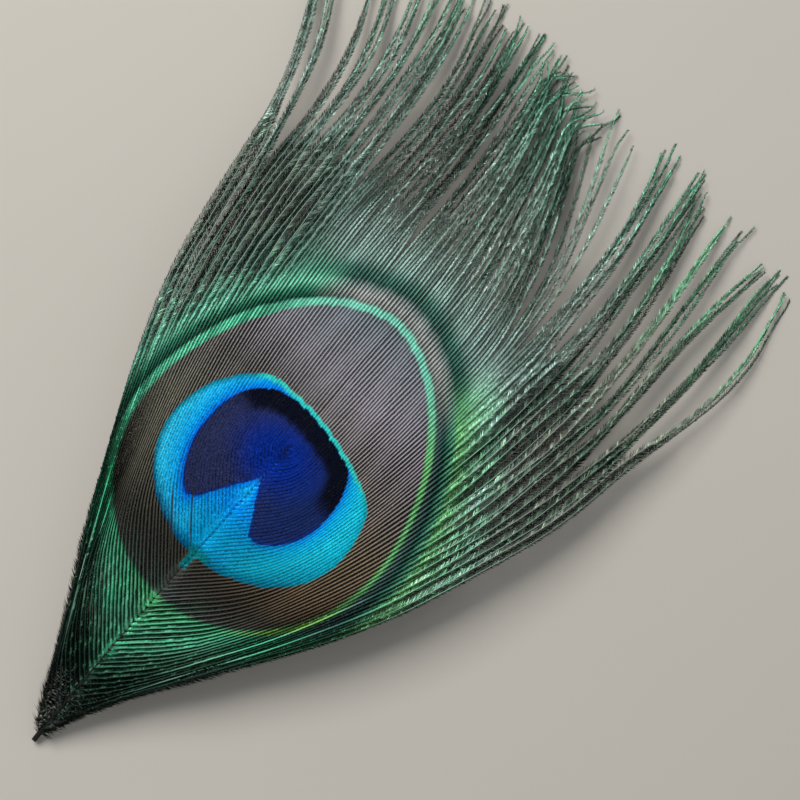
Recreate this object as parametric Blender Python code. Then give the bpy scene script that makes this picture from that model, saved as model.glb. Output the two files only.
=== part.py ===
# Trimmed eye feather of a peacock, lying face up.
# Frame: +Y runs along the shaft from the cut base to the fringe tips,
# +X is to the right seen from the face, +Z is up, the surface it lies on is z = 0.
# The shaft is one solid. The barbs are grouped in the locks they cling to, seven on
# the left and eight on the right, and each lock is one thin closed solid that runs
# from its roots on the shaft to its one or two free tips.
import math

import bpy
import bmesh

MM = 0.001

# Shaft
SHAFT_LENGTH = 48.0 * MM
SHAFT_HALF_WIDTH = 0.48 * MM
SHAFT_TIP_HALF_WIDTH = 0.15 * MM
SHAFT_DEPTH = 1.05 * MM
SHAFT_TIP_DEPTH = 0.40 * MM
SHAFT_BOW = 0.55 * MM
SHAFT_RINGS = 33

# Barb roots: number of barbs a side and their spacing down the shaft
BARBS_A_SIDE = 67
ROOT_PITCH_EYE = 0.625 * MM
ROOT_PITCH_MID = 0.77 * MM
ROOT_PITCH_BASE = 0.92 * MM
BARBS_IN_EYE = 40
BARBS_IN_MID = 14

# Outline of the vane on each side: opening slope, half width, squareness of the shoulder
EDGE = {
    -1: {"slope": 0.495, "half": 30.0 * MM, "power": 5.0, "pinch": 0.0},
    1: {"slope": 0.585, "half": 36.2 * MM, "power": 4.0, "pinch": 0.5},
}
PINCH_LENGTH = 18.0 * MM

# How barbs leave the shaft: sideways run per unit of length, and how sharply they turn
LEAVE = {
    -1: {"slope": 0.88, "power": 8.0},
    1: {"slope": 0.95, "power": 5.0},
}

# Arch of the whole feather and its crosswise fall
ARCH_HEIGHT = 7.2 * MM
ARCH_PEAK = 0.42
ARCH_END = 106.4 * MM
ARCH_END_SIDE = 6.0 * MM
CROSS_FALL = 0.22
SIDE_REACH = 34.0 * MM
BASE_LIFT = 0.50 * MM

# Locks
PLATE = 0.50 * MM
GAP = 0.30 * MM
LEAST_WIDTH = 0.42 * MM
WEB_ROWS = 15
FRINGE_ROWS = 13

# Each lock: name, side, prongs. Each prong: first barb, last barb, height where it
# parts from the vane, tip x, tip y, sideways lean at the tip, width at the tip (mm).
# Barb 0 is the innermost, at the end of the shaft.
LOCKS = [
    ("lock_left_1", -1, [
        (0, 5, 70.0, -5.6, 105.0, -0.20, 0.9),
        (6, 12, 70.0, -7.4, 105.8, -0.28, 1.1),
    ]),
    ("lock_left_2", -1, [
        (13, 18, 69.0, -9.8, 106.2, -0.18, 1.0),
        (19, 25, 69.0, -13.3, 106.4, -0.36, 1.2),
    ]),
    ("lock_left_3", -1, [
        (26, 30, 70.0, -15.6, 105.8, -0.42, 1.1),
        (31, 34, 71.0, -17.9, 104.9, -0.50, 0.9),
    ]),
    ("lock_left_4", -1, [
        (35, 39, 72.0, -20.0, 104.3, -0.34, 0.9),
        (40, 43, 72.0, -22.3, 105.9, -0.42, 0.9),
    ]),
    ("lock_left_5", -1, [
        (44, 46, 73.0, -24.2, 104.2, -0.46, 0.7),
        (47, 50, 73.0, -26.4, 103.0, -0.55, 0.8),
    ]),
    ("lock_left_6", -1, [
        (51, 55, 70.0, -29.4, 100.4, -0.72, 0.8),
        (56, 58, 68.0, -31.0, 98.0, -0.78, 0.7),
    ]),
    ("lock_left_7", -1, [
        (59, 61, 68.0, -35.4, 96.6, -0.72, 0.7),
        (62, 66, 70.0, -39.8, 99.9, -0.70, 0.9),
    ]),
    ("lock_right_1", 1, [
        (0, 8, 70.0, -3.9, 104.6, -0.26, 1.2),
    ]),
    ("lock_right_2", 1, [
        (9, 17, 69.0, -2.2, 103.9, -0.40, 1.1),
        (18, 25, 69.0, -0.5, 102.2, -0.46, 1.1),
    ]),
    ("lock_right_3", 1, [
        (26, 27, 70.0, 1.6, 105.1, -0.46, 0.6),
        (28, 29, 70.0, 5.4, 105.7, -0.34, 0.6),
    ]),
    ("lock_right_4", 1, [
        (30, 36, 69.0, 11.2, 106.4, -0.28, 1.3),
    ]),
    ("lock_right_5", 1, [
        (37, 43, 70.0, 16.2, 106.2, -0.14, 1.1),
        (44, 48, 71.0, 18.0, 104.2, -0.26, 0.9),
    ]),
    ("lock_right_6", 1, [
        (49, 51, 68.0, 21.6, 104.2, -0.14, 0.7),
        (52, 54, 67.0, 23.9, 105.0, -0.10, 0.7),
    ]),
    ("lock_right_7", 1, [
        (55, 58, 64.0, 29.2, 102.7, 0.26, 0.8),
        (59, 63, 66.0, 31.0, 103.2, -0.04, 0.8),
    ]),
    ("lock_right_8", 1, [
        (64, 66, 70.0, 32.6, 101.4, -0.52, 0.8),
    ]),
]

# Materials: name, colour, roughness
SHAFT_LOOK = ("shaft_horn", (0.030, 0.026, 0.020), 0.45)
LOCK_LOOKS = {
    "lock_left_1": ("barbs_navy_green", (0.018, 0.060, 0.085), 0.42),
    "lock_left_2": ("barbs_blue_green", (0.016, 0.085, 0.110), 0.42),
    "lock_left_3": ("barbs_turquoise_green", (0.020, 0.090, 0.085), 0.42),
    "lock_left_4": ("barbs_bronze_green", (0.045, 0.062, 0.036), 0.45),
    "lock_left_5": ("barbs_moss_green", (0.024, 0.075, 0.045), 0.45),
    "lock_left_6": ("barbs_dark_green", (0.016, 0.050, 0.036), 0.48),
    "lock_left_7": ("barbs_edge_green", (0.012, 0.032, 0.024), 0.50),
    "lock_right_1": ("barbs_navy_green_right", (0.016, 0.055, 0.080), 0.42),
    "lock_right_2": ("barbs_blue_green_right", (0.015, 0.090, 0.105), 0.42),
    "lock_right_3": ("barbs_teal_green_right", (0.022, 0.095, 0.070), 0.42),
    "lock_right_4": ("barbs_bronze_green_right", (0.052, 0.070, 0.030), 0.45),
    "lock_right_5": ("barbs_leaf_green_right", (0.030, 0.085, 0.032), 0.45),
    "lock_right_6": ("barbs_moss_green_right", (0.022, 0.065, 0.036), 0.46),
    "lock_right_7": ("barbs_dark_green_right", (0.015, 0.046, 0.030), 0.48),
    "lock_right_8": ("barbs_edge_green_right", (0.012, 0.034, 0.022), 0.50),
}


def soft_step(t):
    t = min(1.0, max(0.0, t))
    return t * t * (3.0 - 2.0 * t)


def root_y(barb):
    # height on the shaft where a barb leaves; barb may be fractional
    eye = min(barb, BARBS_IN_EYE)
    mid = min(max(barb - BARBS_IN_EYE, 0.0), BARBS_IN_MID)
    base = max(barb - BARBS_IN_EYE - BARBS_IN_MID, 0.0)
    drop = eye * ROOT_PITCH_EYE + mid * ROOT_PITCH_MID + base * ROOT_PITCH_BASE
    return SHAFT_LENGTH - drop


def shaft_x(y):
    # the shaft bows slightly to the left and straightens at its end
    t = min(1.0, max(0.0, y / SHAFT_LENGTH))
    return -SHAFT_BOW * math.sin(math.pi * min(1.0, 0.25 + t * 0.75))


def shaft_half_width(y):
    t = min(1.0, max(0.0, y / SHAFT_LENGTH))
    return SHAFT_HALF_WIDTH + (SHAFT_TIP_HALF_WIDTH - SHAFT_HALF_WIDTH) * t ** 0.8


def vane_edge(side, y):
    # distance of the vane's outer edge from the centre line
    edge = EDGE[side]
    run = edge["slope"] * y
    width = run / (1.0 + (run / edge["half"]) ** edge["power"]) ** (1.0 / edge["power"])
    return width * (1.0 - edge["pinch"] * math.exp(-((y / PINCH_LENGTH) ** 2)))


def web_share(side, barb):
    # share of the vane's half width that a barb ends up at
    s = barb / (BARBS_A_SIDE - 1)
    if side < 0:
        return s
    return s * (0.88 + 0.12 * soft_step((s - 0.5) / 0.45))


def web_x(side, barb, y):
    # a barb leaves the shaft at a slant, then turns to follow the vane's edge
    start = root_y(barb)
    reach = max(0.0, y - start)
    edge = max(vane_edge(side, y), 1e-6)
    leave = LEAVE[side]
    ask = leave["slope"] * reach / edge
    share = max(web_share(side, barb), 1e-4)
    part = ask / (1.0 + (ask / share) ** leave["power"]) ** (1.0 / leave["power"])
    pull = 1.0 - soft_step(reach / (9.0 * MM))
    return side * edge * part + shaft_x(start) * pull


def prong_x(side, prong, barb, y):
    # below the parting height a barb keeps to the vane, above it the prong's centre
    # line is one cubic to the tip and the barbs close up towards that line
    first, last, part_y, tip_x, tip_y, lean, tip_width = prong
    part_y = part_y * MM
    if y <= part_y:
        return web_x(side, barb, y)
    middle = 0.5 * (first + last)
    step = 0.5 * MM
    x0 = web_x(side, middle, part_y)
    slope0 = (x0 - web_x(side, middle, part_y - step)) / step
    span = tip_y * MM - part_y
    t = (y - part_y) / span
    centre = (
        (2 * t ** 3 - 3 * t ** 2 + 1) * x0
        + (t ** 3 - 2 * t ** 2 + t) * span * slope0
        + (3 * t ** 2 - 2 * t ** 3) * tip_x * MM
        + (t ** 3 - t ** 2) * span * lean
    )
    offset = web_x(side, barb, part_y) - x0
    across = (barb - middle) / (last - first + 1.0)
    narrow = side * across * tip_width * MM
    return centre + offset + (narrow - offset) * soft_step(t * 1.5)


def vane_z(x, y):
    # height of the vane's middle surface: an arch along the length, lower at the sides
    side = min(1.3, abs(x) / SIDE_REACH)
    end = ARCH_END - ARCH_END_SIDE * side ** 2
    t = min(1.0, max(0.0, y / end))
    bend = math.log(0.5) / math.log(ARCH_PEAK)
    arch = ARCH_HEIGHT * math.sin(math.pi * t ** bend) * (1.0 - CROSS_FALL * side ** 2)
    return 0.5 * PLATE + BASE_LIFT * (1.0 - t) ** 2 + max(0.0, arch)


def clear_objects():
    for item in list(bpy.data.objects):
        bpy.data.objects.remove(item, do_unlink=True)


def make_material(look):
    name, colour, roughness = look
    material = bpy.data.materials.new(name)
    material.use_nodes = True
    shader = material.node_tree.nodes["Principled BSDF"]
    shader.inputs["Base Color"].default_value = (*colour, 1.0)
    shader.inputs["Roughness"].default_value = roughness
    shader.inputs["Metallic"].default_value = 0.0
    return material


def add_object(name, bm, look):
    bmesh.ops.recalc_face_normals(bm, faces=bm.faces)
    mesh = bpy.data.meshes.new(name)
    bm.to_mesh(mesh)
    bm.free()
    mesh.materials.append(make_material(look))
    item = bpy.data.objects.new(name, mesh)
    bpy.context.scene.collection.objects.link(item)
    return item


def build_shaft():
    # a tapering rod, round above and flat below, closed at the cut base and at its end
    bm = bmesh.new()
    rings = []
    sides = 10
    for k in range(SHAFT_RINGS):
        t = k / (SHAFT_RINGS - 1)
        y = SHAFT_LENGTH * t
        half = shaft_half_width(y)
        depth = SHAFT_DEPTH + (SHAFT_TIP_DEPTH - SHAFT_DEPTH) * t ** 0.7
        top = vane_z(0.0, y) + 0.5 * PLATE + 0.05 * MM
        bottom = max(0.0, top - depth)
        ring = []
        for j in range(sides):
            turn = math.pi * j / (sides - 1)
            x = shaft_x(y) + half * math.cos(turn)
            z = bottom + (top - bottom) * (0.45 + 0.55 * math.sin(turn))
            ring.append(bm.verts.new((x, y, z)))
        ring.append(bm.verts.new((shaft_x(y) - 0.62 * half, y, bottom)))
        ring.append(bm.verts.new((shaft_x(y) + 0.62 * half, y, bottom)))
        rings.append(ring)
    for low, high in zip(rings, rings[1:]):
        count = len(low)
        for j in range(count):
            n = (j + 1) % count
            face = bm.faces.new((low[j], low[n], high[n], high[j]))
            face.smooth = j < sides - 1
    bm.faces.new(rings[0])
    bm.faces.new(rings[-1])
    return add_object("rachis", bm, SHAFT_LOOK)


def side_line(side, prong, barb, toward, heights):
    # one long edge of a prong, moved inwards by half the gap, as (x, y) points
    points = []
    step = 0.3 * MM
    for y in heights:
        x = prong_x(side, prong, barb, y)
        slope = (prong_x(side, prong, barb, y + step) - x) / step
        inset = 0.5 * GAP * math.sqrt(1.0 + slope * slope)
        x = x + toward * side * inset
        if y < SHAFT_LENGTH + GAP:
            clear = shaft_half_width(y) + GAP
            x = side * max(side * x, side * shaft_x(y) + clear)
        points.append((x, y))
    return points


def spread_heights(start, part, tip):
    # closer rows near the root where the barbs turn, even rows along the fringe
    low = [start + (part - start) * (k / WEB_ROWS) ** 1.35 for k in range(WEB_ROWS)]
    high = [part + (tip - part) * k / FRINGE_ROWS for k in range(FRINGE_ROWS + 1)]
    return low + high


def prong_edges(side, prong):
    # the inner and outer long edges of one prong, row by row from root to tip
    first, last, part_y, tip_x, tip_y, lean, tip_width = prong
    inner_barb = first - 0.5 if first > 0 else 0.0
    outer_barb = last + 0.5
    root_in = root_y(inner_barb)
    root_out = max(root_y(min(outer_barb, BARBS_A_SIDE - 0.6)), 0.35 * MM)
    start_gap = 0.5 * GAP + SHAFT_HALF_WIDTH
    heights_in = spread_heights(root_in + start_gap, part_y * MM, tip_y * MM)
    heights_out = spread_heights(root_out + start_gap, part_y * MM, tip_y * MM)
    inner = side_line(side, prong, inner_barb, 1.0, heights_in)
    outer = side_line(side, prong, outer_barb, -1.0, heights_out)
    rows = []
    for (xi, yi), (xo, yo) in zip(inner, outer):
        short = LEAST_WIDTH - side * (xo - xi)
        if short > 0.0 and abs(yi - yo) < 0.2 * MM:
            xi -= side * 0.5 * short
            xo += side * 0.5 * short
        rows.append(((xi, yi), (xo, yo)))
    return rows


def add_pair(bm, point):
    # the top and bottom corner of the plate at one point of the outline
    x, y = point
    z = vane_z(x, y)
    top = bm.verts.new((x, y, z + 0.5 * PLATE))
    low = bm.verts.new((x, y, max(0.0, z - 0.5 * PLATE)))
    return top, low


def add_strip(bm, left, right, wall_left, wall_right):
    # plate faces between two columns of corner pairs, with side walls where asked
    for k in range(len(left) - 1):
        a, b = left[k], right[k]
        c, d = right[k + 1], left[k + 1]
        top = bm.faces.new((a[0], b[0], c[0], d[0]))
        low = bm.faces.new((a[1], d[1], c[1], b[1]))
        top.smooth = True
        low.smooth = True
        if wall_left[k]:
            bm.faces.new((a[0], d[0], d[1], a[1]))
        if wall_right[k]:
            bm.faces.new((b[0], b[1], c[1], c[0]))


def build_lock(name, side, prongs):
    # prongs share their common long edge below the parting height and stand apart above
    bm = bmesh.new()
    tables = [prong_edges(side, prong) for prong in prongs]
    rows = len(tables[0])
    columns = []
    for number, table in enumerate(tables):
        inner = [add_pair(bm, row[0]) for row in table]
        outer = [add_pair(bm, row[1]) for row in table]
        columns.append([inner, outer])
    whole = [True] * (rows - 1)
    if len(prongs) == 2:
        for k in range(WEB_ROWS + 2):
            one, two = tables[0][k][1], tables[1][k][0]
            shared = (0.5 * (one[0] + two[0]), 0.5 * (one[1] + two[1]))
            for corner in columns[0][1][k] + columns[1][0][k]:
                bm.verts.remove(corner)
            pair = add_pair(bm, shared)
            columns[0][1][k] = pair
            columns[1][0][k] = pair
        apart = [k >= WEB_ROWS + 1 for k in range(rows - 1)]
        add_strip(bm, columns[0][0], columns[0][1], whole, apart)
        add_strip(bm, columns[1][0], columns[1][1], apart, whole)
    else:
        add_strip(bm, columns[0][0], columns[0][1], whole, whole)
    for inner, outer in columns:
        bm.faces.new((inner[0][0], inner[0][1], outer[0][1], outer[0][0]))
        bm.faces.new((inner[-1][0], outer[-1][0], outer[-1][1], inner[-1][1]))
    return add_object(name, bm, LOCK_LOOKS[name])


def seat_on_origin(items):
    # move everything so that the bottom centre of the whole box is at the origin
    corners = [vertex.co.copy() for item in items for vertex in item.data.vertices]
    low = [min(c[axis] for c in corners) for axis in range(3)]
    high = [max(c[axis] for c in corners) for axis in range(3)]
    shift = (-(low[0] + high[0]) / 2.0, -(low[1] + high[1]) / 2.0, -low[2])
    for item in items:
        for vertex in item.data.vertices:
            vertex.co.x += shift[0]
            vertex.co.y += shift[1]
            vertex.co.z += shift[2]
        item.data.update()


clear_objects()
pieces = [build_shaft()]
for lock_name, lock_side, lock_prongs in LOCKS:
    pieces.append(build_lock(lock_name, lock_side, lock_prongs))
seat_on_origin(pieces)
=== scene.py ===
import math

import bpy
import numpy as np
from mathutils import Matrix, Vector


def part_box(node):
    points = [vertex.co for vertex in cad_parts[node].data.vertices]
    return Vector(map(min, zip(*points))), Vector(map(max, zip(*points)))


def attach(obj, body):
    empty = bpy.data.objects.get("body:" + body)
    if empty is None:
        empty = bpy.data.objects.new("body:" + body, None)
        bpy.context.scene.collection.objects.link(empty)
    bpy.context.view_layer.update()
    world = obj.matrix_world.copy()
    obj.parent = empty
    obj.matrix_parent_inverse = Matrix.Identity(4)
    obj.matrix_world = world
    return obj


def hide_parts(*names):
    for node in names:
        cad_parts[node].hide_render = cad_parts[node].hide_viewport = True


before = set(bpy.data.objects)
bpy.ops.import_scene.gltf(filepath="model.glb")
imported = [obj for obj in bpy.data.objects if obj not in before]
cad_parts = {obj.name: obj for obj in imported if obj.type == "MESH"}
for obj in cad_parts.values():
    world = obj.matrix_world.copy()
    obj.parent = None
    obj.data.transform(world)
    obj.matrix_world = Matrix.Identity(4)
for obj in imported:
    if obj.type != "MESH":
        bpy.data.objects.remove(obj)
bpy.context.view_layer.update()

mm = 0.001  # shapes are worked out in millimetres and put into the meshes in metres

# the feather's plan, in millimetres from the cut base of the shaft
shaft = {
    "length": 48.0,
    "bow": 0.55,  # sideways bow to the left
    "halfWidth": 0.48,  # of the frame's plain rod at the cut, for finding its place
    "tipHalfWidth": 0.15,
    "tubeWidth": 0.28,  # half width of the visible rod at the cut, over its tip's
    "tubeTip": 0.05,
    "depth": 0.80,  # how deep the rod is at the cut, over its tip's
    "depthTip": 0.30,
    "shoulder": 0.24,  # drop from the ridge to the sides
    "stand": 0.055,  # how far the ridge stands out of the barbs
    "rows": 150,
    "sides": 20,
}

vane = {
    "barbsASide": 67, "barbsInEye": 40, "barbsInMiddle": 14,
    "pitchInEye": 0.625,  # spacing of the roots down the shaft
    "pitchInMiddle": 0.77, "pitchAtBase": 0.92,
    "pinchLength": 18.0,  # how far up the foot is drawn in
    "left": {"slope": 0.495, "half": 30.0, "power": 5.0, "pinch": 0.0, "leave": 0.88, "turn": 8.0},
    "right": {"slope": 0.585, "half": 36.2, "power": 4.0, "pinch": 0.5, "leave": 0.95, "turn": 5.0},
}

arch = {
    "height": 7.2,
    "peak": 0.42,  # where along the length it is highest, as a share
    "end": 106.4,
    "endSide": 6.0,  # how much sooner it comes down at the sides
    "crossFall": 0.22,  # share of the height lost at the sides
    "sideReach": 34.0, "baseLift": 0.50, "plate": 0.50,
}

# prong: first barb, last barb, height where it parts, tip x, tip y, lean, width at the tip
locks = {
    "lock_left_1": [(0, 5, 70.0, -5.6, 105.0, -0.20, 0.9), (6, 12, 70.0, -7.4, 105.8, -0.28, 1.1)],
    "lock_left_2": [(13, 18, 69.0, -9.8, 106.2, -0.18, 1.0), (19, 25, 69.0, -13.3, 106.4, -0.36, 1.2)],
    "lock_left_3": [(26, 30, 70.0, -15.6, 105.8, -0.42, 1.1), (31, 34, 71.0, -17.9, 104.9, -0.50, 0.9)],
    "lock_left_4": [(35, 39, 72.0, -20.0, 104.3, -0.34, 0.9), (40, 43, 72.0, -22.3, 105.9, -0.42, 0.9)],
    "lock_left_5": [(44, 46, 73.0, -24.2, 104.2, -0.46, 0.7), (47, 50, 73.0, -26.4, 103.0, -0.55, 0.8)],
    "lock_left_6": [(51, 55, 70.0, -29.4, 100.4, -0.72, 0.8), (56, 58, 68.0, -31.0, 98.0, -0.78, 0.7)],
    "lock_left_7": [(59, 61, 68.0, -35.4, 96.6, -0.72, 0.7), (62, 66, 70.0, -39.8, 99.9, -0.70, 0.9)],
    "lock_right_1": [(0, 8, 70.0, -3.9, 104.6, -0.26, 1.2)],
    "lock_right_2": [(9, 17, 69.0, -2.2, 103.9, -0.40, 1.1), (18, 25, 69.0, -0.5, 102.2, -0.46, 1.1)],
    "lock_right_3": [
        (26, 26, 70.0, 0.4, 105.0, -0.52, 0.4), (27, 27, 70.0, 2.4, 105.2, -0.44, 0.4),
        (28, 28, 70.0, 4.0, 105.6, -0.38, 0.4), (29, 29, 70.0, 6.2, 105.8, -0.36, 0.4),
    ],
    "lock_right_4": [(30, 36, 69.0, 11.2, 106.4, -0.28, 1.3)],
    "lock_right_5": [(37, 43, 70.0, 16.2, 106.2, -0.14, 1.1), (44, 48, 71.0, 18.0, 104.2, -0.26, 0.9)],
    "lock_right_6": [(49, 51, 68.0, 21.6, 104.2, -0.14, 0.7), (52, 54, 67.0, 23.9, 105.0, -0.10, 0.7)],
    "lock_right_7": [(55, 58, 64.0, 29.2, 102.7, 0.26, 0.8), (59, 63, 66.0, 31.0, 103.2, -0.04, 0.8)],
    "lock_right_8": [(64, 66, 70.0, 32.6, 101.4, -0.52, 0.8)],
}

barb = {
    "ribRadius": 0.060,
    "ribTipRadius": 0.026,
    "bladePitch": 0.125,  # spacing of the barbules along the rib, in the eye
    "freePitch": 0.115,  # the same, in the loose fringe and the flanks
    "bladeAngle": 52.0,  # between a barbule and its rib, in the eye
    "freeAngle": 36.0,  # the same, in the fringe and the flanks
    "freeReach": 0.34,  # how far a loose barb's barbules stand out
    "flankReach": 0.54,  # the same for the long barbs of the flanks
    "webReach": 0.67,  # how far they stand out in the eye, as a share of the spacing
    "width": 0.155,  # of a barbule, and how much less in the loose parts and at the base
    "looseWidth": 0.065,
    "baseWidth": 0.02,
    "wander": 0.20,  # sideways waver of the loose barbs
    "sway": 0.16,  # the same for the pairs in the flanks
    "webSway": 0.07,  # and for the barbs of the web, shared with their neighbours
    "stack": 0.13,  # how far the two of a pair lie over each other
    "sink": 0.30,  # how far the outer one of a pair sinks in the flanks
    "lift": 0.16,  # how far barbs of one lock lie over and under each other
    "roll": 0.45,  # how far the loose barbs twist about their ribs, in radians
    "curl": 7.5,  # how far the tips of the middle tuft hook sideways
    "tuft": -4.5,  # where that tuft's middle is, sideways
    "fray": 3.2,  # unevenness of the tips
    "splits": [(28, 31.2, 38.6), (34, 28.6, 36.2)],  # left barb that stands off the next, from, to
    "splitShare": 0.52,  # how much shorter the barbules beside a split are
}

# how much darker barbs are, as shares: painted shade where they crowd or sink, darker at foot and base
darkening = {
    "foot": 0.82, "tuft": 0.7, "base": 0.78, "sunken": 0.30,
    "sunkenFar": 0.42,  # more in the outermost barbs
    "lit": 0.85,  # painted light: taken off again for one foot barb in four, which ends lighter
}


def softStep(t):
    # 3t^2 - 2t^3 between 0 and 1, flat outside
    t = np.clip(t, 0.0, 1.0)
    return t * t * (3.0 - 2.0 * t)


def chance(n, salt):
    # a fixed random-looking number from 0 to 1 for each n: the fraction of a large sine
    return np.mod(np.sin(np.asarray(n, float) * 127.1 + salt * 311.7) * 43758.5453, 1.0)


def rootY(n):
    # height on the shaft where barb n leaves: its end, less each zone's count times its pitch
    inEye = np.minimum(n, vane["barbsInEye"])
    inMiddle = np.clip(n - vane["barbsInEye"], 0.0, vane["barbsInMiddle"])
    atBase = np.maximum(n - vane["barbsInEye"] - vane["barbsInMiddle"], 0.0)
    drop = inEye * vane["pitchInEye"] + inMiddle * vane["pitchInMiddle"] + atBase * vane["pitchAtBase"]
    return shaft["length"] - drop


def shaftX(y):
    # the shaft's bow: a sine that starts part way up and ends at zero
    t = np.clip(y / shaft["length"], 0.0, 1.0)
    return -shaft["bow"] * np.sin(math.pi * np.minimum(1.0, 0.25 + 0.75 * t))


def shaftHalfWidth(y):
    # from the base's half width to the tip's, with the 0.8th power of the height
    t = np.clip(y / shaft["length"], 0.0, 1.0)
    return shaft["halfWidth"] + (shaft["tipHalfWidth"] - shaft["halfWidth"]) * t ** 0.8


def flankOf(side):
    # the figures of one side: -1 is left, 1 is right
    return vane["left"] if side < 0 else vane["right"]


def vaneEdge(side, y):
    # half width of the vane: a straight opening that rounds off to a fixed half width, drawn in
    # near the foot by a bell curve of the height
    f = flankOf(side)
    run = f["slope"] * y
    width = run / (1.0 + (run / f["half"]) ** f["power"]) ** (1.0 / f["power"])
    return width * (1.0 - f["pinch"] * np.exp(-((y / vane["pinchLength"]) ** 2)))


def webShare(side, n):
    # share of the half width that barb n ends up at: its count, a little less inside on the right
    s = np.maximum(n, 0.0) / (vane["barbsASide"] - 1)
    if side < 0:
        return s
    return s * (0.88 + 0.12 * softStep((s - 0.5) / 0.45))


def webX(side, n, y):
    # slanting run from the root, turned smoothly into the barb's share of the half width
    f = flankOf(side)
    start = rootY(n)
    reach = np.maximum(0.0, y - start)
    edge = np.maximum(vaneEdge(side, y), 1e-6)
    ask = f["leave"] * reach / edge
    share = np.maximum(webShare(side, n), 1e-4)
    part = ask / (1.0 + (ask / share) ** f["turn"]) ** (1.0 / f["turn"])
    return side * edge * part + shaftX(start) * (1.0 - softStep(reach / 9.0))


def prongX(side, prong, n, y, pace=1.5):
    # in the vane the barb's own line; above the parting, a cubic to the tip plus the barb's
    # offset from the prong's middle, which closes up at its own pace and splays at the end
    first, last, partY, tipX, tipY, lean, tipWidth = prong
    middle = 0.5 * (first + last)
    x0 = webX(side, middle, partY)
    slope = (x0 - webX(side, middle, partY - 0.5)) / 0.5
    span = tipY - partY
    t = np.clip((y - partY) / span, 0.0, 1.0)
    centre = (
        (2 * t ** 3 - 3 * t ** 2 + 1) * x0
        + (t ** 3 - 2 * t ** 2 + t) * span * slope
        + (3 * t ** 2 - 2 * t ** 3) * tipX
        + (t ** 3 - t ** 2) * span * lean
    )
    offset = webX(side, n, partY) - x0
    narrow = side * (n - middle) / (last - first + 1.0) * tipWidth * (1.35 + 0.8 * t ** 4)
    loose = centre + offset + (narrow - offset) * softStep(t * pace)
    return np.where(y <= partY, webX(side, n, y), loose)


def vaneZ(x, y):
    # an arch along the length that falls off to the sides
    side = np.minimum(1.3, np.abs(x) / arch["sideReach"])
    end = arch["end"] - arch["endSide"] * side ** 2
    t = np.clip(y / end, 0.0, 1.0)
    bend = math.log(0.5) / math.log(arch["peak"])
    rise = arch["height"] * np.sin(math.pi * t ** bend) * (1.0 - arch["crossFall"] * side ** 2)
    return 0.5 * arch["plate"] + arch["baseLift"] * (1.0 - t) ** 2 + np.maximum(0.0, rise)


# where the frame has the cut base, found from the shaft's box
shaftLow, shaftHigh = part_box("rachis")
alongShaft = np.linspace(0.0, shaft["length"], 200)
homeX = shaftLow.x / mm - float((shaftX(alongShaft) - shaftHalfWidth(alongShaft)).min())
homeY = shaftLow.y / mm


def barbKey(side, n):
    # a number of its own for every barb: its index, with 200 added on the left
    return n + (200.0 if side < 0 else 0.0)


def flankShare(n):
    # 0 for the barbs of the eye, 1 for those that run up the flanks
    return softStep((n - 25.0) / 17.0)


def bunch(side, prong, n, y):
    # barbs draw together in pairs: in the flanks, once they are past the ring, the outer one of
    # each pair sinks under its neighbours; where the vane comes apart the two close up. Gives
    # the index n is drawn to, the pair's middle, how far the drawing has gone and the sinking
    first, last, partY = prong[:3]
    middle = np.minimum(first + np.floor((n - first) / 2.0) * 2.0 + 0.5, last)
    under = np.clip(2.0 * (n - middle), 0.0, 1.0)
    outside = -discDepth(webX(side, n, y), y)
    early = flankShare(n) * softStep((y - rootY(n) - 5.0) / 12.0) * softStep((outside - 0.4) / 5.5)
    late = softStep((y - partY - 4.0 * (1.0 - flankShare(n))) / 9.0)
    together = n + (middle - n) * 0.6 * late
    return together, middle, np.maximum(early, late), under * early * (1.0 - late)


def duskShare(side, prong, n, y):
    # the lowest barbs darken along the foot's edges, but for one in four (a sine of the index),
    # which gets painted light outside the ring; sunken ones in the flanks get painted shade, and so
    # do most of those in the thick tuft left of the middle; all of them darken at the base
    dark = darkening
    foot = softStep((n - 50.0) / 7.0) * softStep((50.0 - y) / 16.0)
    # glow: painted light on one foot barb in four
    glow = foot * softStep((np.sin(0.5 * math.pi * n) - 0.4) / 0.3) * (n < 63.5)
    glow = glow * softStep((y - rootY(n) - 5.0) / 9.0) * softStep(0.4 - discDepth(webX(side, n, y), y))
    foot = dark["foot"] * foot * (1.0 - glow)
    sunk = bunch(side, prong, n, y)[3]
    trunk = softStep((y - 74.0) / 10.0) * softStep((101.0 - y) / 5.0) * (side < 0) * (n > 8) * (n < 26)
    trunk = trunk * dark["tuft"] * softStep((chance(n, 22) - 0.25) / 0.2)
    low = dark["base"] * softStep((23.0 - y) / 15.0)
    deep = (dark["sunken"] + dark["sunkenFar"] * softStep((n - 38.0) / 12.0)) * sunk
    return np.maximum(np.maximum(foot, deep), np.maximum(low, trunk)) - dark["lit"] * glow * (1.0 - low)


def wildness(side, prong, n, y):
    # how unruly a barb looks: in the fringe and flanks fully, near the base partly
    return np.maximum(bunch(side, prong, n, y)[2], 0.85 * softStep((30.0 - y) / 10.0))


def toneOf(side, prong, n, y):
    # lightness of a barb: a chance of its own, shared with its pair in the flanks
    key = barbKey(side, n)
    pair = barbKey(side, bunch(side, prong, n, y)[1])
    shared = 0.6 * flankShare(n)
    return chance(key, 6) * (1.0 - shared) + chance(pair, 6) * shared


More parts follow.
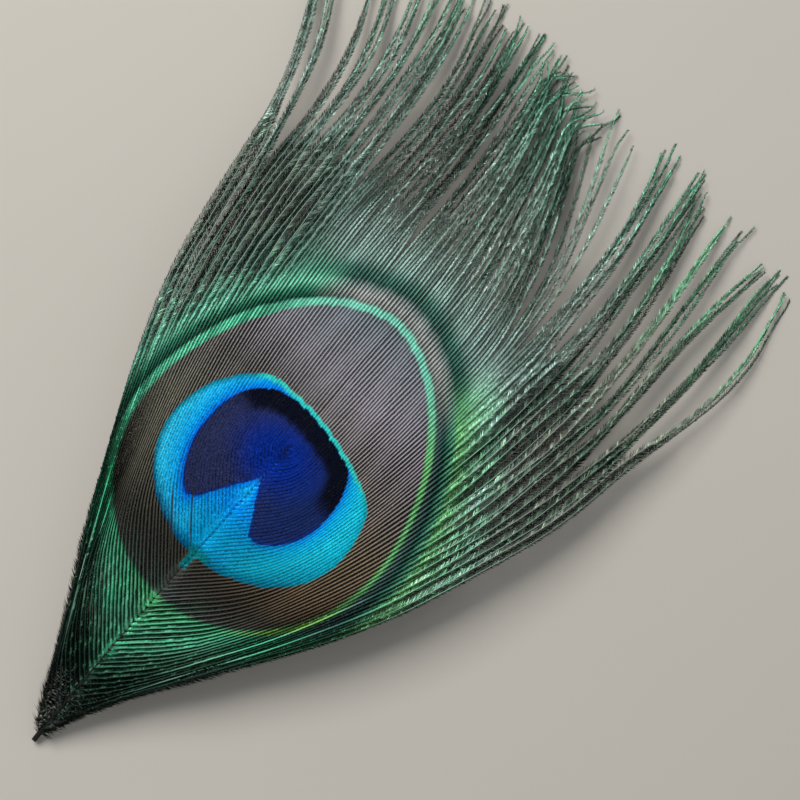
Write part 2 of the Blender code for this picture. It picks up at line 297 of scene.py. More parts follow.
def barbPlace(side, prong, n, y):
    # centre line of barb n at height y: its plan, a waver of two sines that grows in the loose
    # fringe, a slow sway that neighbours share in the web, a hook at the tip, and the arch with
    # a small lift of the barb's own
    partY, tipX, tipY = prong[2:5]
    free = softStep((y - partY + 4.0) / (tipY - partY + 4.0))
    key = barbKey(side, n)
    together, middle, drawn, sunk = bunch(side, prong, n, y)
    pair = barbKey(side, middle)
    wave = np.sin(y / 2.7 + 6.28 * chance(key, 1)) * 0.35 + np.sin(y / 6.1 + 6.28 * chance(pair, 2))
    sway = barb["sway"] * drawn * np.sin(y / 3.7 + 6.28 * chance(pair, 7))
    sway = sway + barb["webSway"] * np.sin(0.55 * n + y / 3.6) * softStep((y - rootY(n)) / 5.0)
    curl = softStep((y - tipY + 7.0) / 7.0) ** 2 * barb["curl"] * (chance(key, 16) - 0.32)
    curl = curl * np.where(np.abs(tipX - barb["tuft"]) < 5.0, 1.0, 0.2)
    pace = np.where(n < 26.0, 0.62, np.where(n < 44.0, 1.05, np.where(n < 51.0, 1.8, 2.5)))
    pace = pace + 0.6 * chance(pair, 17)
    x = prongX(side, prong, together, y, pace) + barb["wander"] * free * wave + sway * (1.0 - free) + curl
    over = np.sin(y / 9.0 + 6.28 * chance(key, 3)) * free * 2.0 + chance(key, 4) - 0.5
    stack = barb["stack"] * (n - middle) * drawn * np.sin(y / 12.0 + 6.28 * chance(pair, 9))
    z = vaneZ(x, y) + barb["lift"] * over * (0.35 + free) + stack - barb["sink"] * sunk
    return x, y, np.maximum(z, 0.09)  # a rib and its barbules stay clear of the floor


# the eye's figure: centres and half sizes in millimetres, each depth below is positive inside
eye = {
    "heart": {
        "x": -0.36, "y": 43.9, "wideLeft": 9.4, "wideRight": 9.2, "up": 9.0,
        "downLeft": 10.4, "downRight": 8.7, "topPower": 2.5,
    },
    "notch": {"x": -0.35, "y": 42.9, "left": 1.55, "right": 1.86},
    "blue": {"x": 0.0, "y": 42.2, "wide": 13.4, "up": 13.0, "down": 11.64},
    "blueTop": {"y": 52.85, "tilt": -0.157, "curve": -0.0164},
    "disc": {
        "x": -0.2, "y": 43.0, "wideLeft": 17.6, "wideRight": 18.0, "up": 24.3, "down": 19.2,
        "topPower": 1.8,
    },
}


def ellipseDepth(x, y, a, b):
    # depth inside an ellipse: (1 - g) / |slope of g|, with g the scaled distance from its centre
    g = np.sqrt((x / a) ** 2 + (y / b) ** 2) + 1e-9
    slope = np.sqrt((x / a ** 2) ** 2 + (y / b ** 2) ** 2) / g + 1e-9
    return (1.0 - g) / slope


def softLeast(a, b, k):
    # the smaller of two depths with its corner rounded by k
    h = np.clip(0.5 + 0.5 * (b - a) / k, 0.0, 1.0)
    return b * (1.0 - h) + a * h - k * h * (1.0 - h)


def blueDepth(x, y):
    # a disc with a slanting, slightly bowed top, and a thin tongue down the shaft
    e, top = eye["blue"], eye["blueTop"]
    dx, dy = x - e["x"], y - e["y"]
    disc = ellipseDepth(dx, dy, e["wide"], np.where(dy > 0, e["up"], e["down"]))
    lid = top["y"] + top["tilt"] * x + top["curve"] * x * x - y
    tongue = np.minimum(np.minimum(0.5 - np.abs(x + 0.5), 0.3 * (y - 28.6)), 34.0 - y)
    return np.maximum(softLeast(disc, lid, 0.8), tongue)


def heartDepth(x, y):
    # an ellipse, squarer above, with a wedge cut from below, kept inside the blue
    e, notch = eye["heart"], eye["notch"]
    dx, dy = x - e["x"], y - e["y"]
    down = np.where(dx < 0, e["downLeft"], e["downRight"])
    wide = np.where(dx < 0, e["wideLeft"], e["wideRight"])
    below = ellipseDepth(dx, dy, wide, down)
    power = e["topPower"]
    g = ((np.abs(dx) / wide) ** power + (np.abs(dy) / e["up"]) ** power) ** (1.0 / power)
    above = np.hypot(dx, dy) * (1.0 / (g + 1e-6) - 1.0)
    body = np.where(dy > 0, above, below)
    slope = np.where(x < notch["x"], notch["left"], notch["right"])
    wedge = (y - notch["y"] + slope * np.abs(x - notch["x"])) / np.hypot(1.0, slope)
    return softLeast(softLeast(body, wedge, 1.6), blueDepth(x, y) - 0.55, 0.5)


def discDepth(x, y):
    # distance in from the green ring's middle line, measured towards the disc's centre: the
    # distance from the centre times one over g, less one, with g as in a rounded ellipse
    e = eye["disc"]
    dx, dy = x - e["x"], y - e["y"]
    power = np.where(dy > 0, e["topPower"], 2.0)
    tall = np.where(dy > 0, e["up"], e["down"])
    wide = np.where(dx < 0, e["wideLeft"], e["wideRight"])
    g = ((np.abs(dx) / wide) ** power + (np.abs(dy) / tall) ** power) ** (1.0 / power) + 1e-6
    return np.hypot(dx, dy) * (1.0 / g - 1.0)


def newObject(name, data):
    # an object at the origin, placed in the scene
    item = bpy.data.objects.new(name, data)
    bpy.context.scene.collection.objects.link(item)
    return item


def addMesh(name, points, quads, triangles, places, numbers):
    # points in millimetres from the cut base; places are (u, v) per vertex for the bake map, and
    # numbers are values per vertex that the materials read by name
    points = (points + np.array([homeX, homeY, 0.0])) * mm
    loops = np.concatenate([quads.ravel(), triangles.ravel()]).astype(np.int32)
    totals = np.concatenate([np.full(len(quads), 4), np.full(len(triangles), 3)]).astype(np.int32)
    starts = np.concatenate([[0], np.cumsum(totals)[:-1]]).astype(np.int32)
    mesh = bpy.data.meshes.new(name)
    mesh.vertices.add(len(points))
    mesh.vertices.foreach_set("co", points.astype(np.float32).ravel())
    mesh.loops.add(len(loops))
    mesh.loops.foreach_set("vertex_index", loops)
    mesh.polygons.add(len(totals))
    mesh.polygons.foreach_set("loop_start", starts)
    mesh.polygons.foreach_set("loop_total", totals)
    mesh.polygons.foreach_set("use_smooth", np.ones(len(totals), bool))
    mesh.update(calc_edges=True)
    mesh.validate()
    layer = mesh.uv_layers.new(name="OFBake")
    layer.uv.foreach_set("vector", places[loops].astype(np.float32).ravel())
    for key, values in numbers.items():
        made = mesh.attributes.new(key, "FLOAT", "POINT")
        made.data.foreach_set("value", values.astype(np.float32))
    return newObject(name, mesh)


def lineFrames(side, prong, n, y):
    # point, unit tangent, sideways unit and upward unit of the barb's centre line; the last two
    # turn about the tangent by the barb's own twist, a sine that grows in the fringe
    ahead = np.stack(barbPlace(side, prong, n, y + 0.12), -1)
    behind = np.stack(barbPlace(side, prong, n, y - 0.12), -1)
    point = np.stack(barbPlace(side, prong, n, y), -1)
    tangent = ahead - behind
    tangent /= np.linalg.norm(tangent, axis=-1, keepdims=True)
    across = np.stack([tangent[..., 1], -tangent[..., 0], np.zeros_like(y)], -1)
    across /= np.linalg.norm(across, axis=-1, keepdims=True)
    up = np.cross(across, tangent)
    key = barbKey(side, n)
    drawn = bunch(side, prong, n, y)[2]
    free = softStep((y - prong[2] + 2.0) / 10.0)
    twist = np.sin(y / (2.2 + 2.5 * chance(key, 11)) + 6.28 * chance(key, 12))
    twist = twist + 0.4 * np.sin(y / 1.3 + 9.0 * chance(key, 13))
    roll = (barb["roll"] * twist * np.maximum(free, 0.3 * drawn))[..., None]
    turned = across * np.cos(roll) + up * np.sin(roll)
    return point, tangent, turned, up * np.cos(roll) - across * np.sin(roll)


def colourNumbers(x, y, key, hand, extra):
    # the eye's depths at the barb's own place, shifted a little along each barb, and the
    # painted dashes of light along it: a sine of a sine
    slip = (chance(key, 5) - 0.5) * 0.26
    shift = 20.0 * chance(key, 14) + hand * 1.9
    wave = y * 2.4 + shift + 2.4 * np.sin(y * 0.83 + 20.0 * chance(key, 15))
    numbers = {
        "spotX": x,
        "spotY": y + slip,
        "heart": heartDepth(x, y + slip),
        "blue": blueDepth(x, y + slip),
        "disc": discDepth(x, y + slip),
        "gleam": 0.5 + 0.5 * np.sin(wave),
    }
    numbers.update(extra)
    return numbers


def plainNumbers(size, **own):
    # what the materials read on a plain rib, with a piece's own values in place of some
    numbers = {"rib": 1.0, "bladeTone": 0.5, "barbTone": 0.5, "lit": 0.5}
    for key in ("reach", "free", "wild", "dusk", "hair"):
        numbers[key] = 0.0
    numbers.update(own)
    return {key: np.broadcast_to(value, size) for key, value in numbers.items()}


def ribTubes(side, prong, barbs, tips, column, columns):
    # a four-sided tube along each barb that tapers with the square root of what is left
    count = 110  # rings along a rib
    t = np.linspace(0.0, 1.0, count) ** 1.08
    n = np.repeat(barbs[:, None], count, 1).astype(float)
    y = rootY(n) + (tips[:, None] - rootY(n)) * t[None, :]
    point, tangent, across, up = lineFrames(side, prong, n, y)
    thick = barb["ribTipRadius"] + (barb["ribRadius"] - barb["ribTipRadius"]) * np.sqrt(1.0 - t)
    drawn = bunch(side, prong, n, y)[2] * flankShare(n)
    thick = np.where(t > 0.995, 0.012, thick)[None, :, None] * (1.0 + 0.2 * drawn[..., None])
    turns = [(0.0, 1.0), (1.0, 0.0), (0.0, -0.8), (-1.0, 0.0)]
    rings = np.stack([point + thick * (a * across + b * up) for a, b in turns], 2)
    index = np.arange(rings.shape[0] * count * 4).reshape(-1, count, 4)
    nxt = np.roll(index, -1, 2)
    quads = np.stack([index[:, :-1], nxt[:, :-1], nxt[:, 1:], index[:, 1:]], -1).reshape(-1, 4)
    caps = np.concatenate([index[:, 0, ::-1], index[:, -1, :]])
    key = barbKey(side, n)
    where = column + np.arange(len(barbs))[:, None, None] + 0.5
    u = (where + np.array([-0.06, -0.02, 0.02, 0.06])[None, None, :] + 0.0 * t[None, :, None]) / columns
    v = np.broadcast_to(0.01 + 0.98 * t[None, :, None], u.shape)
    each = lambda a: np.repeat(a[:, :, None], 4, 2).ravel()
    free = softStep((y - prong[2] + 3.0) / 9.0)
    extra = plainNumbers(
        u.size, free=each(free), wild=each(wildness(side, prong, n, y)),
        dusk=each(duskShare(side, prong, n, y)), barbTone=each(toneOf(side, prong, n, y)),
    )
    numbers = colourNumbers(each(point[..., 0]), each(point[..., 1]), each(key), 0.0, extra)
    return rings.reshape(-1, 3), np.concatenate([quads, caps]), np.stack([u.ravel(), v.ravel()], 1), numbers


def barbuleBlades(side, prong, barbs, tips, column, columns, hand, rng):
    # flat blades on one side of each rib: a base edge on the rib, a narrower middle edge raised a
    # little, and a point that droops. They lean forwards, reach across a share of the spacing in
    # the web, further at their barb's root, and stand out by a set length in the loose parts
    partY = prong[2]
    names, heights, shares = [], [], []
    for n, tip in zip(barbs, tips):
        fine = np.linspace(rootY(float(n)) + 0.05, tip - 0.05, 240)
        point = np.stack(barbPlace(side, prong, float(n), fine), -1)
        run = np.concatenate([[0.0], np.cumsum(np.linalg.norm(np.diff(point, axis=0), axis=1))])
        late = np.maximum(softStep((fine - partY + 2.0) / 6.0), flankShare(float(n)))
        gap = barb["bladePitch"] + (barb["freePitch"] - barb["bladePitch"]) * late
        counted = np.concatenate([[0.0], np.cumsum(np.diff(run) / gap[1:])])
        stops = np.interp(np.arange(0.5 + 0.2 * hand, counted[-1], 1.0), counted, run)
        names.append(np.full(len(stops), float(n)))
        heights.append(np.interp(stops, run, fine))
        shares.append(stops / run[-1])
    n, y, t = np.concatenate(names), np.concatenate(heights), np.concatenate(shares)
    point, tangent, across, up = lineFrames(side, prong, n, y)
    spacing = np.abs(prongX(side, prong, n + 0.5, y) - prongX(side, prong, n - 0.5, y)) * tangent[:, 1]
    free = softStep((y - partY - 2.0) / 9.0)
    inFlank = bunch(side, prong, n, y)[2] * flankShare(n) * (1.0 - free)
    loose = np.maximum(free, inFlank)
    edge = softStep((n - 60.0) / 5.0) * (1.0 - free)
    down = softStep((13.0 - y) / 9.0)
    luck = rng.random(len(n))
    low = softStep((17.0 - y) / 9.0)
    root = 1.0 - softStep((y - rootY(n)) / 1.6)
    web = spacing * (barb["webReach"] + 0.5 * low)
    web = np.clip(web, 0.17 + 0.15 * low + 0.20 * root, 0.38 + 0.2 * low)
    reach = web + (barb["freeReach"] - web) * free + (barb["flankReach"] - web) * inFlank
    reach = reach * (0.86 + 0.28 * luck * (0.5 + loose)) + edge * 0.20 * luck ** 2 + down * 0.45 * luck ** 3
    reach *= 1.0 - 0.55 * softStep((t - 0.88) / 0.12)
    reach *= 1.0 - 0.45 * softStep((n - 64.0) / 2.0) * softStep((y - 30.0) / 10.0) * (hand * side > 0)
    if side < 0:
        for at, start, end in barb["splits"]:
            beside = (n == at) * (hand < 0) + (n == at + 1) * (hand > 0)
            beside = beside * softStep((y - start) / 1.2) * softStep((end - y) / 2.5)
            reach *= 1.0 - barb["splitShare"] * beside
    lean = (barb["freeAngle"] - barb["bladeAngle"]) * np.maximum(loose, edge)
    angle = np.radians(barb["bladeAngle"] + lean)
    angle += np.radians(6.0) * (rng.random(len(n)) - 0.5) * (1.0 + 3.0 * loose + 8.0 * down)
    length = (reach / np.sin(np.maximum(angle, 0.35)))[:, None]
    heading = across * (hand * np.sin(angle))[:, None] + tangent * np.cos(angle)[:, None]
    wide = (barb["width"] - barb["looseWidth"] * loose - barb["baseWidth"] * down)[:, None]
    tilt = ((rng.random(len(n)) - 0.5) * (0.04 + 0.05 * loose))[:, None] * up
    rise = (0.030 - 0.03 * inFlank)[:, None] * up
    droop = (0.10 + 0.07 * inFlank - 0.05 * free)[:, None] * up
    rib = (barb["ribTipRadius"] + (barb["ribRadius"] - barb["ribTipRadius"]) * np.sqrt(1.0 - t))[:, None]
    base = point + across * hand * rib * 0.5 + up * rib * (0.4 - 0.9 * inFlank[:, None])
    middle = base + heading * length * 0.50 + rise
    tipPoint = base + heading * length - droop
    corners = np.stack([
        base - tangent * wide * 0.5 - tilt,
        base + tangent * wide * 0.5 + tilt,
        middle - tangent * wide * 0.44 - tilt,
        middle + tangent * wide * 0.44 + tilt,
        tipPoint,
    ], 1)
    corners[:, :, 2] = np.maximum(corners[:, :, 2], 0.03)  # above the floor
    index = np.arange(len(n) * 5).reshape(-1, 5)
    order = [(0, 2, 3), (0, 3, 1), (2, 4, 3)] if hand > 0 else [(0, 3, 2), (0, 1, 3), (2, 3, 4)]
    triangles = np.concatenate([index[:, list(o)] for o in order])
    key = barbKey(side, n)
    centre = column + (n - barbs[0]) + 0.5
    spread = np.array([0.07, 0.07, 0.26, 0.26, 0.46]) * hand
    typicalRun = 75.0  # a barb's usual length, which the bake map's height stands for
    step = np.array([-0.5, 0.5, -0.5, 0.5, 0.0]) * (barb["bladePitch"] / typicalRun)
    u = (centre[:, None] + spread[None, :]) / columns
    v = 0.01 + 0.98 * np.clip(t[:, None] + step[None, :], 0.0, 1.0)
    each = lambda a: np.repeat(a, 5)
    turned = np.maximum(np.maximum(inFlank, 0.35 * free), 0.5 * softStep((30.0 - y) / 8.0))
    # lit: painted light on each barb's inner side and painted shade on its outer side, as far as it turns
    extra = plainNumbers(
        len(n) * 5, rib=0.0, lit=each(0.5 - 0.5 * hand * side * turned),
        reach=np.tile([0.0, 0.0, 0.5, 0.5, 1.0], len(n)) * each(1.0 - 0.75 * root),
        bladeTone=each(rng.random(len(n))), free=each(free), wild=each(wildness(side, prong, n, y)),
        dusk=each(duskShare(side, prong, n, y)), barbTone=each(toneOf(side, prong, n, y)),
        hair=each(np.maximum(edge * luck ** 2, down * luck ** 9)),
    )
    numbers = colourNumbers(each(middle[:, 0]), each(middle[:, 1]), each(key), hand, extra)
    return corners.reshape(-1, 3), triangles, np.stack([u.ravel(), v.ravel()], 1), numbers


def joinNumbers(parts):
    # each named array of the parts, end to end
    return {key: np.concatenate([p[key] for p in parts]) for key in parts[0]}


def makeLock(name, prongs, seed):
    # the ribs of every prong, then the barbules on both sides of them, as one mesh
    rng = np.random.default_rng(seed)
    side = -1 if "left" in name else 1
    columns = sum(p[1] - p[0] + 1 for p in prongs)
    column = 0
    points, quads, triangles, places, numbers = [], [], [], [], []

    def add(faces, p, f, uv, num):
        # f counts from the part's own first vertex
        faces.append(f + sum(len(q) for q in points))
        points.append(p)
        places.append(uv)
        numbers.append(num)

    for prong in prongs:
        barbs = np.arange(prong[0], prong[1] + 1)
        tips = prong[4] - barb["fray"] * rng.random(len(barbs)) ** 1.6
        add(quads, *ribTubes(side, prong, barbs, tips, column, columns))
        for hand in (-1.0, 1.0):
            add(triangles, *barbuleBlades(side, prong, barbs, tips, column, columns, hand, rng))
        column += len(barbs)
    meshName = name.replace("lock", "barbs")
    joined = [np.concatenate(part) for part in (points, quads, triangles, places)]
    return addMesh(meshName, *joined, joinNumbers(numbers))


def makeShaft():
    # a rod with a narrow ridge and sloping shoulders: half width times cosine of the turn; above,
    # the ridge less the root of one minus its sine, below a round back; closed ends
    rows, sides = shaft["rows"], shaft["sides"]
    cut = 2.5  # length over which the cut end flattens
    t = np.linspace(0.0, 1.0, rows)
    y = shaft["length"] * t
    turn = np.arange(sides) / sides * 2.0 * math.pi
    half = shaft["tubeWidth"] * (1.0 - t) ** 0.5 + shaft["tubeTip"] - 0.02 * softStep((2.0 - y) / 2.0)
    deep = shaft["depth"] * (1.0 - t) ** 0.8 + shaft["depthTip"]
    top = vaneZ(0.0 * y, y) + shaft["stand"] + 0.12 * softStep((cut - y) / 2.0)
    top = top - 0.04 * softStep((y - 41.0) / 4.0)
    up = np.sin(turn)[None, :]
    shoulder = shaft["shoulder"] - 0.10 * softStep((cut - y) / 2.0)[:, None]
    above = -shoulder * np.sqrt(np.maximum(1.0 - up, 0.0))
    below = -shoulder + (deep[:, None] - shoulder) * up
    x = shaftX(y)[:, None] + half[:, None] * np.cos(turn)[None, :]
    z = np.maximum(top[:, None] + np.where(up > 0, above, below), 0.0)
    grid = np.stack([x, np.broadcast_to(y[:, None], x.shape), z], -1).reshape(-1, 3)
    index = np.arange(rows * sides).reshape(rows, sides)
    nxt = np.roll(index, -1, 1)
    quads = np.stack([index[:-1], nxt[:-1], nxt[1:], index[1:]], -1).reshape(-1, 4)
    end = shaft["length"]
    hub = np.array([[shaftX(0.0), 0.0, z[0].mean()], [shaftX(end), end, z[-1].mean()]])
    a, b = rows * sides, rows * sides + 1
    low = np.stack([np.full(sides, a), nxt[0], index[0]], 1)
    high = np.stack([np.full(sides, b), index[-1], nxt[-1]], 1)
    points = np.concatenate([grid, hub])
    u = np.concatenate([np.tile(np.arange(sides) / sides, rows), [0.5, 0.5]]) * 0.9 + 0.05
    v = np.concatenate([np.repeat(t, sides), [0.0, 1.0]]) * 0.94 + 0.03
    key = np.full(len(points), 90.0)  # past the last barb on the right
    numbers = colourNumbers(points[:, 0], points[:, 1], key, 0.0, plainNumbers(len(points)))
    return addMesh("shaft", points, quads, np.concatenate([low, high]), np.stack([u, v], 1), numbers)


def paint(code):
    # '#rrggbb' as shown on a screen, turned into the linear colour that nodes take: the 2.4th
    # power of the value, with a straight run near black
    values = [int(code[i:i + 2], 16) / 255.0 for i in (1, 3, 5)]
    return [v / 12.92 if v <= 0.04045 else ((v + 0.055) / 1.055) ** 2.4 for v in values] + [1.0]


class Sheet:
    # short calls for laying out one node tree

    def __init__(self, tree):
        self.tree = tree

    def node(self, kind, **settings):
        # a setting goes to the input of that name, if there is one, or to the node itself
        made = self.tree.nodes.new(kind)
        for key, value in settings.items():
            if key in made.inputs:
                made.inputs[key].default_value = value
            else:
                setattr(made, key, value)
        return made

    def link(self, source, target):
        # joins two sockets, or sets a constant
        if hasattr(source, "is_linked"):
            self.tree.links.new(source, target)
        else:
            target.default_value = source

    def math(self, operation, a, b=0.0):
        made = self.node("ShaderNodeMath", operation=operation)
        self.link(a, made.inputs[0])
        self.link(b, made.inputs[1])
        return made.outputs[0]

    def times(self, a, b):
        return self.math("MULTIPLY", a, b)

    def plus(self, a, b):
        return self.math("ADD", a, b)

    def minus(self, a, b):
        return self.math("SUBTRACT", a, b)

    def step(self, value, low, high):
        # 0 below low, 1 above high, smooth between
        made = self.node("ShaderNodeMapRange", interpolation_type="SMOOTHSTEP")
        self.link(value, made.inputs["Value"])
        made.inputs["From Min"].default_value = low
        made.inputs["From Max"].default_value = high
        return made.outputs["Result"]

    def both(self, a, b):
        # two soft steps multiplied, each given as value, low, high
        return self.times(self.step(*a), self.step(*b))

    def ramp(self, value, stops):
        # colour stops spread over value, from the first stop's place to the last one's
        low, high = stops[0][0], stops[-1][0]
        spread = self.node("ShaderNodeMapRange")
        self.link(value, spread.inputs["Value"])
        spread.inputs["From Min"].default_value = low
        spread.inputs["From Max"].default_value = high
        made = self.node("ShaderNodeValToRGB")
        self.link(spread.outputs["Result"], made.inputs["Fac"])
        elements = made.color_ramp.elements
        while len(elements) < len(stops):
            elements.new(0.5)
        for element, (place, code) in zip(elements, stops):
            element.position = (place - low) / (high - low)
            element.color = paint(code)
        return made.outputs["Color"]

    def mix(self, factor, a, b, blend="MIX"):
        # from a to b by the factor; either may be a colour code
        made = self.node("ShaderNodeMix", data_type="RGBA", blend_type=blend, clamp_result=True)
        self.link(factor, made.inputs[0])
        self.link(paint(a) if isinstance(a, str) else a, made.inputs[6])
        self.link(paint(b) if isinstance(b, str) else b, made.inputs[7])
        return made.outputs[2]

    def grey(self, value):
        # the value in all three channels
        made = self.node("ShaderNodeCombineColor")
        for socket in made.inputs:
            self.link(value, socket)
        return made.outputs["Color"]

    def attribute(self, name):
        # a number stored on the mesh
        return self.node("ShaderNodeAttribute", attribute_name=name).outputs["Fac"]


def newGroup(name, inputs, outputs):
    # an empty node group with number inputs and the outputs asked for
    group = bpy.data.node_groups.new(name, "ShaderNodeTree")
    for key in inputs:
        group.interface.new_socket(key, in_out="INPUT", socket_type="NodeSocketFloat")
    for key, kind in outputs:
        group.interface.new_socket(key, in_out="OUTPUT", socket_type="NodeSocket" + kind)
    sheet = Sheet(group)
    return group, sheet, sheet.node("NodeGroupInput"), sheet.node("NodeGroupOutput")


# colours of a barb's crest; a list has stops along the length that its note names
eyePaint = {
    "lobeLeft": "#2f365e", "lobeRight": "#1d2f66", "royal": "#0a2e92", "crescent": "#0d1120",
    "heartEdge": "#10348c",
    # out from the heart's edge
    "blueLeft": [(0, "#0880ff"), (0.9, "#10b4ff"), (3, "#34d6ff"), (5, "#1cc2fc")],
    "blueRight": [(0, "#0c8cf6"), (0.7, "#10bcf8"), (2.4, "#20dcf8"), (5, "#12badc")],
    "notchLow": "#0cace8", "notchHigh": "#0898ff", "shoreLowLeft": "#085484",
    "shoreLowRight": "#053c50", "shoreLeft": "#0e8aa4", "shoreRight": "#0fb4c4", "blueShade": "#0a86a6",
    "stem": "#0a7c84", "rim": "#3ce0d4",
    # up the feather; the bronze's pale mauve above is partly its own colour, partly painted sheen
    "bronzeLeft": [
        (22, "#1c2a22"), (25, "#3b3e3f"), (30, "#4b4c45"), (36, "#747264"), (44, "#848274"),
        (52, "#837f7b"), (58, "#a5a2aa"), (64, "#9da4ae"), (67.5, "#8c9ca2"),
    ],
    "bronzeRight": [
        (22, "#1c2a22"), (25, "#3d3c3c"), (30, "#4f4a41"), (36, "#826f58"), (44, "#968872"),
        (52, "#9c9595"), (58, "#b2acb6"), (64, "#a2a7b1"), (67.5, "#8c9ca2"),
    ],
    "ringLeft": "#74f2c2", "ringRight": "#88e290", "ringTop": "#90eed4", "ringLowLeft": "#50d090",
    "ringLowRight": "#9cd458", "ringDim": "#246a52",
    # out from the ring, above the eye: a pale band, a dark band and the grey-green web
    "bands": [
        (0, "#8cd0bc"), (0.8, "#acb0ac"), (1.8, "#c2c6c4"), (2.7, "#92a6a2"), (3.4, "#3a6e62"),
        (4.6, "#4e8878"), (6.2, "#a2c8be"), (10, "#a4c2ba"), (14, "#92b0a6"), (20, "#84a898"),
    ],
    # the same to the left: dark, then mint streaks that fade to the drab edge
    "greenLeft": [
        (0, "#5cc09e"), (0.7, "#1e5442"), (1.7, "#3e9474"), (2.8, "#92fcd4"), (4.2, "#74c8aa"),
        (6, "#70a892"), (8, "#6c9484"), (11, "#6c7c70"),
    ],
    # and to the right: a dark teal strip, a golden-green glow, then drab olive
    "greenRight": [
        (0, "#5fae72"), (0.7, "#62807c"), (1.6, "#2c5c56"), (2.6, "#5cb48c"), (3.5, "#96f49c"),
        (5.2, "#a4fcbc"), (7.6, "#acf6cc"), (10, "#8ea496"), (14, "#7a8074"),
    ],
    # in from the foot's edges: drab, dark, then mint under the eye
    "foot": [
        (-6, "#4ca484"), (0, "#3c7060"), (6, "#406a5c"), (11, "#347458"), (15, "#3ea67c"),
        (19, "#4ac892"), (24, "#5ac87a"),
    ],
    "base": "#3a4240",
    # up the loose fringe
    "fringe": [(72, "#a0bcb0"), (84, "#9eb8ac"), (96, "#8cbca6"), (106, "#66c69a")],
    "fringeRight": "#94a490", "fringeRightTip": "#7cd0a0",
}

eyeLook = {
    "bank": 0.85,  # strength of the dark lower shore of the blue
    "blueShade": 0.62,
    "ringDim": 0.50,  # how far the darker barbs on the left dull the ring
    "ringWidth": 0.30,  # half width, and how much more at the top and on the left
    "ringWidthTop": 0.26, "ringWidthLeft": 0.22,
    "slope": 0.9,  # how steeply the zones' ends fall away from the shaft
    "greenKeep": 0.7,  # how much of the green stays in the web on the right
    "furrowShade": 0.95,  # depth of the painted shade in the furrows between barbs, and how much less or more of it
    "furrowBlue": 0.40, "furrowHeart": 0.04, "furrowTop": 0.14, "furrowFoot": 0.12,
    "furrowFootDisc": 0.19, "furrowRing": 0.16, "furrowGlow": 0.14,
}


